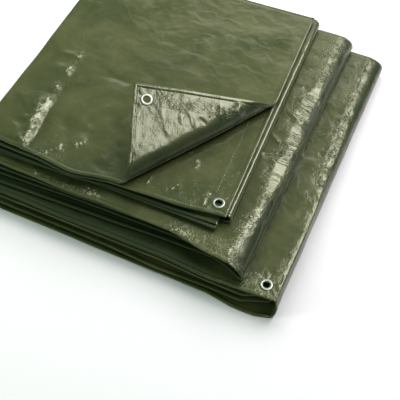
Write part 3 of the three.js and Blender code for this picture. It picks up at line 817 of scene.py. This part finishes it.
def makeTarp():
    rows = sheetRows()
    names = ["ply", "inset", "across", "number", "unrolled", "fromRight", "fromEnd", "fade", "sign", "along"]
    fields = {name: np.concatenate([row[name] for row in rows]) for name in names}
    points = np.concatenate([row["points"] for row in rows])
    faces = joinRows(rows)
    fields["layer"] = layersOf(fields)
    isTop = (fields["layer"] == "top") & (fields["fromEnd"] < far)
    turned, past = turnedBack(points)
    # painted shade: darker colour between the folds, on the roll, below the ridges and by the mound's foot
    fields["shade"] = np.maximum(foldedIn(fields), shadeOnBends(fields, points, isTop, past))
    rise = addCreases(fields, points[:, 1])
    base = np.where(isTop[:, None], turned, points)
    base = base + normalsOf(base, faces) * rise[:, None]
    base = base + np.array([*packet["corner"], 0])
    base, faces, fields = fitEyelets(base, faces, fields)
    skins, solid = thicken(base, faces, halfThickness(fields))
    skins[:, 2] = np.maximum(skins[:, 2], 0)

    mesh = bpy.data.meshes.new("tarp")
    mesh.from_pydata(skins.tolist(), [], solid.tolist())
    made = bpy.data.objects.new("tarp", mesh)
    bpy.context.scene.collection.objects.link(made)
    mesh.shade_smooth()
    layDownFields(mesh, fields)
    mesh.update()
    print("tarp:", len(solid), "triangles")
    return made


tarp = makeTarp()
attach(tarp, "root")
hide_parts("tarp_sheet", "hem_patch_bottom", "hem_patch_middle", "hem_patch_corner")


eyelet = {
    "round": 48,
    "profile": [             # radius and height of half the section, from inside the hole over the flange
        (0.0060, 0.0000), (0.0060, 0.0009), (0.00625, 0.00145), (0.0069, 0.0018), (0.0080, 0.0020),
        (0.0092, 0.00195), (0.0102, 0.0017), (0.0108, 0.00135), (0.0110, 0.0010), (0.0106, 0.00078),
        (0.0071, 0.00078),
    ],
}


def deselectAll():
    bpy.ops.object.select_all(action="DESELECT")


def makeEyelet(node):
    deselectAll()
    over = eyelet["profile"]
    under = [(radius, -height) for radius, height in reversed(over)]
    loop = over + under
    bpy.ops.mesh.primitive_circle_add(vertices=eyelet["round"], radius=loop[0][0], location=(0, 0, 0))
    ring = bpy.context.object
    ring.name = ring.data.name = node.replace("eyelet_", "eyeletRing.")
    bpy.ops.object.mode_set(mode="EDIT")
    bpy.ops.mesh.select_mode(type="EDGE")
    bpy.ops.mesh.select_all(action="SELECT")
    for (radius, height), (nextRadius, nextHeight) in zip(loop[:-1], loop[1:]):
        bpy.ops.mesh.extrude_edges_move(TRANSFORM_OT_translate={"value": (0, 0, nextHeight - height)})
        scale = nextRadius / radius
        bpy.ops.transform.resize(value=(scale, scale, 1), center_override=(0, 0, nextHeight))
    bpy.ops.mesh.select_all(action="SELECT")
    bpy.ops.mesh.remove_doubles(threshold=1e-6)
    bpy.ops.mesh.normals_make_consistent(inside=False)
    bpy.ops.object.mode_set(mode="OBJECT")
    centre, axis = eyeletFrame(node)
    turn = Vector((0, 0, 1)).rotation_difference(Vector(axis)).to_matrix().to_4x4()
    ring.matrix_world = Matrix.Translation(Vector(centre)) @ turn
    bpy.ops.object.transform_apply(location=True, rotation=True, scale=True)
    bpy.ops.object.shade_smooth()
    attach(ring, "root")
    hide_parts(node)
    return ring


eyelets = [makeEyelet(node) for node in eyeletPlaces]
print("eyelets:", len(eyelets))


class Socket:                # a node's output, so that shader maths reads as sums
    def __init__(self, tree, link):
        self.tree, self.link = tree, link

    def math(self, operation, *others):
        return addNode(self.tree, "ShaderNodeMath", {"operation": operation}, [self, *others])

    def __add__(self, other):
        return self.math("ADD", other)

    def __sub__(self, other):
        return self.math("SUBTRACT", other)

    def __mul__(self, other):
        return self.math("MULTIPLY", other)

    def __truediv__(self, other):
        return self.math("DIVIDE", other)

    def __rsub__(self, other):
        return addNode(self.tree, "ShaderNodeMath", {"operation": "SUBTRACT"}, [other, self])

    def clamped(self):
        return self.math("MAXIMUM", 0).math("MINIMUM", 1)

    __radd__ = __add__
    __rmul__ = __mul__


def addNode(tree, kind, settings=None, values=(), output=0):
    made = tree.nodes.new(kind)
    for name, value in (settings or {}).items():
        setattr(made, name, value)
    pairs = values.items() if isinstance(values, dict) else enumerate(values)
    for name, value in pairs:
        if isinstance(value, Socket):
            tree.links.new(value.link, made.inputs[name])
        else:
            made.inputs[name].default_value = value
    return Socket(tree, made.outputs[output])


def newMaterial(name, constants):
    material = bpy.data.materials.new(name)
    material.use_nodes = True
    shader = material.node_tree.nodes["Principled BSDF"]
    for key, value in constants.items():
        shader.inputs[key].default_value = value
    return material, material.node_tree, shader


def feed(tree, shader, name, socket):
    tree.links.new(socket.link, shader.inputs[name])


coated = {
    "olive": (0.080, 0.084, 0.031, 1),
    "deep": (0.046, 0.055, 0.019, 1),
    "worn": (0.120, 0.122, 0.058, 1),
    # painted shade: the near black green laid where shade falls, following the shade attribute
    "folded": (0.012, 0.024, 0.009, 1),
    # painted highlight: the pale colour laid along bright creases
    "highlightColour": (0.40, 0.41, 0.27, 1),
    "hemLine": (0.035, 0.045, 0.016, 1),
    "glint": (1.0, 0.98, 0.76, 1),
    "gloss": 0.21,           # roughness, and what it gains where shade is painted
    "foldedGloss": 0.11,
    "tone": (11, 5, 0.5),    # scale, detail and distortion of the olive in the deep green
    "spots": (38, 3, 0.4),   # and of the worn spots
    "wornShare": 0.55,       # how strongly each colour covers the ones before it
    "hemShare": 0.6,
    "foldedShare": 0.8,
    "tape": 0.0026,          # width of one tape of the weave, and its height
    "weave": 0.000018,
    "facets": {              # sharp little folds: scale, distortion, sharpness, height
        "line": (75, 1.4, 13, 0.00050),
        "hairline": (130, 1.0, 9, 0.00034),
        "tiny": (240, 0.9, 6, 0.00014),
        "small": (80, 0.6, 6, 0.00018),
        "soft": (26, 0.4, 6, 0.00020),
        "worn": (150, 0.9, 6, 0.5),
    },
    "shard": 0.0008,         # heights of the flat shards, the scratches, and the scratches on the underside
    "scratch": 0.0003,
    "innerScratch": 0.00022,
    "hollow": 0.0012,        # heights of the soft hollows, large and small, and of the long wrinkles
    "dimple": 0.0005,
    "wrinkle": 0.0011,
    "innerSoft": 0.45,       # how much flatter the soft forms are on the underside
    "seam": 0.00018,         # depth of the lines in the hem, their width in hem widths, and the stitch length
    "seamWidth": 0.030,
    "stitch": 0.0062,
}


def makeCoated():
    material, tree, shader = newMaterial("coatedWeave", {
        "Specular IOR Level": 1.0, "Specular Tint": coated["glint"]})
    flat = addNode(tree, "ShaderNodeUVMap", {"uv_map": "flat"})
    parts = addNode(tree, "ShaderNodeSeparateXYZ", None, [flat])
    along, across = (Socket(tree, parts.link.node.outputs[index]) for index in (0, 1))
    crinkle, fromFront, fromEnd, inner, paintedHighlight, shade = (
        addNode(tree, "ShaderNodeAttribute", {"attribute_name": name}, output=2)
        for name in ("crinkle", "fromFront", "fromEnd", "inner", "paintedHighlight", "shade"))

    def noise(scale, detail=2, distortion=0.0, where=flat):
        return addNode(tree, "ShaderNodeTexNoise", {"noise_dimensions": "2D"}, {
            "Vector": where, "Scale": scale, "Detail": detail, "Roughness": 0.55, "Distortion": distortion})

    def facets(name):
        scale, distortion, sharp, height = coated["facets"][name]
        field = noise(scale, 1, distortion)
        return (1 - ((field - 0.5) * sharp).math("ABSOLUTE").math("MINIMUM", 1)) * height

    def stretched(alongScale, acrossScale):
        return addNode(tree, "ShaderNodeCombineXYZ", None, [along * alongScale, across * acrossScale])

    def line(value, width):
        return 1 - (value.math("ABSOLUTE") / width).math("MINIMUM", 1).math("SMOOTH_MIN", 1, 0.01)

    def mix(factor, under, over):
        return addNode(tree, "ShaderNodeMix", {"data_type": "RGBA"}, {
            "Factor": factor, 6: under, 7: over}, output=2)

    # weave: tapes over and under each other
    turns = math.pi / coated["tape"]
    weave = (along * turns).math("SINE") * (across * turns).math("SINE") * coated["weave"]

    # crinkled cloth: folds between facets, shards and scratches, in patches
    warp = addNode(tree, "ShaderNodeTexNoise", {"noise_dimensions": "2D"}, {
        "Vector": flat, "Scale": 90}, output=1)
    warped = addNode(tree, "ShaderNodeMix", {"data_type": "RGBA", "blend_type": "LINEAR_LIGHT"}, {
        "Factor": 0.006, 6: flat, 7: warp}, output=2)
    shards = addNode(tree, "ShaderNodeTexVoronoi", {"voronoi_dimensions": "2D", "distance": "MANHATTAN"}, {
        "Vector": warped, "Scale": 150}) * coated["shard"]
    scratches = ((noise(1, 2, 0.6, stretched(60, 620)) - 0.58) * 7).clamped()
    scratches = scratches * ((noise(55) - 0.42) * 5).math("MAXIMUM", 0)
    patches = ((noise(34) - 0.40) * 4).clamped() * 0.8 + 0.2
    fine = facets("tiny") + facets("small") - facets("line") - facets("hairline")
    fine = (fine + shards - scratches * coated["scratch"]) * crinkle * patches

    # soft forms everywhere
    soft = facets("soft") + noise(9) * coated["hollow"] + noise(34) * coated["dimple"]
    soft = soft + noise(1, 1.5, 0.4, stretched(17, 31)) * coated["wrinkle"]
    soft = soft * (1 - inner * coated["innerSoft"]) - scratches * inner * coated["innerScratch"]

    # hem: the inner edge of each hem, the stitches beside it and the mitre to the corner
    width = coated["seamWidth"]
    inCorner = fromEnd.math("LESS_THAN", 1.0)
    frontLine = line(fromFront - 1, width) * (inCorner * 0.85 + 0.15)
    mitre = line(fromEnd - fromFront, 0.035) * inCorner * fromFront.math("LESS_THAN", 1.0)
    stitch = ((across * (2 * math.pi / coated["stitch"])).math("SINE") * 3).clamped()
    seam = line(fromEnd - 1, width) * (stitch * 0.5 + 0.5)
    seam = seam.math("MAXIMUM", frontLine).math("MAXIMUM", mitre) * inner

    height = weave + fine + soft - seam * coated["seam"]
    bump = addNode(tree, "ShaderNodeBump", None, {"Strength": 1.0, "Distance": 1.0, "Height": height})
    feed(tree, shader, "Normal", bump)

    tone, spots = noise(*coated["tone"]), noise(*coated["spots"])
    # painted highlight: pale flecks along the creases
    highlightFlecks = noise(230, 2, 0.5) * 0.45 + noise(62, 2, 0.4) * 0.55
    highlightFlecks = ((highlightFlecks - 0.635 + paintedHighlight * 0.19) * 12).clamped() * (paintedHighlight * 2).math("MINIMUM", 1)
    worn = facets("worn") * crinkle + ((spots - 0.62) * 3).math("MAXIMUM", 0)
    colour = mix(((tone - 0.33) * 2.9).clamped(), coated["deep"], coated["olive"])
    colour = mix(worn.math("MINIMUM", 1) * coated["wornShare"], colour, coated["worn"])
    colour = mix(seam * coated["hemShare"], colour, coated["hemLine"])
    # painted shade, following the shade attribute
    colour = mix(shade * coated["foldedShare"], colour, coated["folded"])
    colour = mix(highlightFlecks, colour, coated["highlightColour"])
    feed(tree, shader, "Base Color", colour)
    gloss = coated["gloss"] + shade * coated["foldedGloss"]
    feed(tree, shader, "Roughness", gloss + (spots - 0.5) * 0.12 + (tone - 0.5) * 0.08)
    return material


metal = {
    "colour": (0.52, 0.54, 0.46, 1),
    "gloss": 0.34,
    "fine": 900,             # scales and heights of the fine and the broad marks
    "fineHeight": 0.00002,
    "broad": 160,
    "broadHeight": 0.00006,
}


def makeMetal():
    material, tree, shader = newMaterial("stampedAluminium", {"Metallic": 1.0, "Base Color": metal["colour"]})
    place = addNode(tree, "ShaderNodeTexCoord", None, output=3)
    fine = addNode(tree, "ShaderNodeTexNoise", None, {"Vector": place, "Scale": metal["fine"], "Detail": 3})
    broad = addNode(tree, "ShaderNodeTexNoise", None, {"Vector": place, "Scale": metal["broad"], "Detail": 2})
    feed(tree, shader, "Roughness", metal["gloss"] + fine * 0.12 + broad * 0.10)
    height = fine * metal["fineHeight"] + broad * metal["broadHeight"]
    bump = addNode(tree, "ShaderNodeBump", None, {"Strength": 0.6, "Distance": 1.0, "Height": height})
    feed(tree, shader, "Normal", bump)
    return material


coatedWeave = makeCoated()
stampedAluminium = makeMetal()
tarp.data.materials.append(coatedWeave)
for ring in eyelets:
    ring.data.materials.append(stampedAluminium)

area = sum(face.area for face in tarp.data.polygons) / 2
print("cloth area:", round(area, 3))


studio = {
    "floor": 7.0,
    "floorColour": (0.95, 0.90, 0.93, 1),
    "sky": 0.16,
    "skyColour": (0.66, 1.0, 0.80, 1),
    "lamps": {               # the ones that aren't mirrored light the cloth without a glare in it
        "key": {"from": (0.362, 0.407, 0.838), "size": (0.82, 2.0), "away": 2.21, "power": 36,
                "colour": (1, 1, 1), "mirrored": True},
        "fill": {"from": (-0.30, 0.62, 0.72), "size": (1.4, 1.4), "away": 1.7, "power": 27,
                 "colour": (1, 1, 1), "mirrored": False},
        "back": {"from": (-0.15, 0.85, 0.50), "size": (3.0, 1.2), "away": 3.0, "power": 12,
                 "colour": (1, 1, 1), "mirrored": True},
        "front": {"from": (-0.80, -0.56, 0.22), "size": (1.5, 1.0), "away": 3.0, "power": 62,
                  "colour": (0.78, 1.0, 0.84), "mirrored": False},
    },
}


def softbox(name, lamp):
    direction = Vector(lamp["from"]).normalized()
    light = bpy.data.lights.new(name + "Light", "AREA")
    light.shape, light.size, light.size_y = "RECTANGLE", lamp["size"][0], lamp["size"][1]
    light.energy, light.color = lamp["power"], lamp["colour"]
    made = bpy.data.objects.new(name + "Light", light)
    bpy.context.scene.collection.objects.link(made)
    upright = (Vector((0, 1, 0)) - direction * direction.y).normalized()
    axes = Matrix((upright.cross(direction), upright, direction)).transposed()
    made.matrix_world = Matrix.Translation(direction * lamp["away"]) @ axes.to_4x4()
    made.visible_glossy = lamp["mirrored"]


def makeStudio():
    deselectAll()
    bpy.ops.mesh.primitive_plane_add(size=studio["floor"], location=(0, 0, -0.0003))
    floor = bpy.context.object
    floor.name = floor.data.name = "floor"
    constants = {"Base Color": studio["floorColour"], "Roughness": 0.9}
    floor.data.materials.append(newMaterial("paleFloor", constants)[0])
    for name, lamp in studio["lamps"].items():
        softbox(name, lamp)
    world = bpy.data.worlds.new("studio")
    world.use_nodes = True
    background = world.node_tree.nodes["Background"]
    background.inputs["Color"].default_value = studio["skyColour"]
    background.inputs["Strength"].default_value = studio["sky"]
    bpy.context.scene.world = world
    bpy.context.scene.view_settings.view_transform = "Standard"


view = {                     # the photograph's angle, from the front right and above
    "at": (0.4571, -0.9498, 1.2319),
    "azimuth": math.radians(23.7),
    "elevation": math.radians(54),
    "lens": 76.5,
}


def makeCamera():
    data = bpy.data.cameras.new("camera")
    data.lens, data.sensor_width, data.sensor_fit = view["lens"], 36, "HORIZONTAL"
    data.clip_start, data.clip_end = 0.05, 30
    camera = bpy.data.objects.new("camera", data)
    bpy.context.scene.collection.objects.link(camera)
    camera.location = view["at"]
    camera.rotation_euler = (math.pi / 2 - view["elevation"], 0, view["azimuth"])
    bpy.context.scene.camera = camera


makeStudio()
makeCamera()
print("studio:", len(studio["lamps"]), "lamps")
